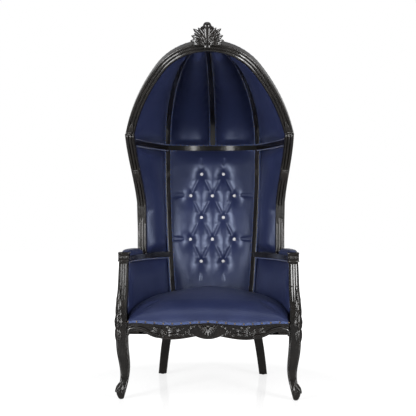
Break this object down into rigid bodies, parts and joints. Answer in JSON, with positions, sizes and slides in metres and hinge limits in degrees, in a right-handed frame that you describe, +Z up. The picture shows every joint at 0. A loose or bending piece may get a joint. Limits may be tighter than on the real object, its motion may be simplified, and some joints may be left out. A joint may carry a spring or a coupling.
{
  "type": "hooded porter's chair",
  "caption": "Hooded high-back armchair with a carved lacquered frame, a ribbed padded dome over the sitter, a button-tufted back, padded arms and a domed seat.",
  "frame": {"origin": "on the floor, under the middle of the box that holds the chair", "axes": "+Z up; the sitter faces -Y; +X to the right of someone who looks at the front of the chair"},
  "size_m": [0.8814, 0.8686, 1.7655],
  "materials": {
    "black_lacquered_wood": "high-gloss black lacquer over carved beech",
    "navy_leather": "smooth satin navy leather",
    "crystal": "faceted clear crystal",
    "jute_webbing": "woven jute",
    "latex_foam": "open-cell foam",
    "black_cloth": "thin woven bottoming cloth",
    "nylon_glide": "matt",
    "bare_beech": "sawn, glued"
  },
  "bodies": {
    "root": {"arm_inner_pad_left": "navy_leather", "arm_inner_pad_right": "navy_leather", "arm_outer_panel_left": "navy_leather", "arm_outer_panel_right": "navy_leather", "arm_pad_left": "navy_leather", "arm_pad_right": "navy_leather", "arm_post_left": "black_lacquered_wood", "arm_post_right": "black_lacquered_wood", "arm_rail_left": "black_lacquered_wood", "arm_rail_right": "black_lacquered_wood", "back_buttons": "crystal", "back_outer_panel": "navy_leather", "back_pad": "navy_leather", "back_rail": "black_lacquered_wood", "back_stile_left": "black_lacquered_wood", "back_stile_right": "black_lacquered_wood", "band_back": "black_lacquered_wood", "band_side_left": "black_lacquered_wood", "band_side_right": "black_lacquered_wood", "corner_blocks": "bare_beech", "crest": "black_lacquered_wood", "dome_pad_inner_left": "navy_leather", "dome_pad_inner_right": "navy_leather", "dome_pad_outer_left": "navy_leather", "dome_pad_outer_right": "navy_leather", "dome_panel_inner_left": "navy_leather", "dome_panel_inner_right": "navy_leather", "dome_panel_outer_left": "navy_leather", "dome_panel_outer_right": "navy_leather", "dome_rib_centre": "black_lacquered_wood", "dome_rib_side_left": "black_lacquered_wood", "dome_rib_side_right": "black_lacquered_wood", "dust_cover": "black_cloth", "front_leg_left": "black_lacquered_wood", "front_leg_right": "black_lacquered_wood", "front_rail": "black_lacquered_wood", "glides": "nylon_glide", "hood_arch_left": "black_lacquered_wood", "hood_arch_right": "black_lacquered_wood", "hood_stile_left": "black_lacquered_wood", "hood_stile_right": "black_lacquered_wood", "rear_leg_left": "black_lacquered_wood", "rear_leg_right": "black_lacquered_wood", "seat_cushion": "navy_leather", "seat_foam": "latex_foam", "seat_webbing": "jute_webbing", "side_rail_left": "black_lacquered_wood", "side_rail_right": "black_lacquered_wood", "wing_outer_panel_left": "navy_leather", "wing_outer_panel_right": "navy_leather", "wing_pad_left": "navy_leather", "wing_pad_right": "navy_leather"}
  },
  "joints": []
}
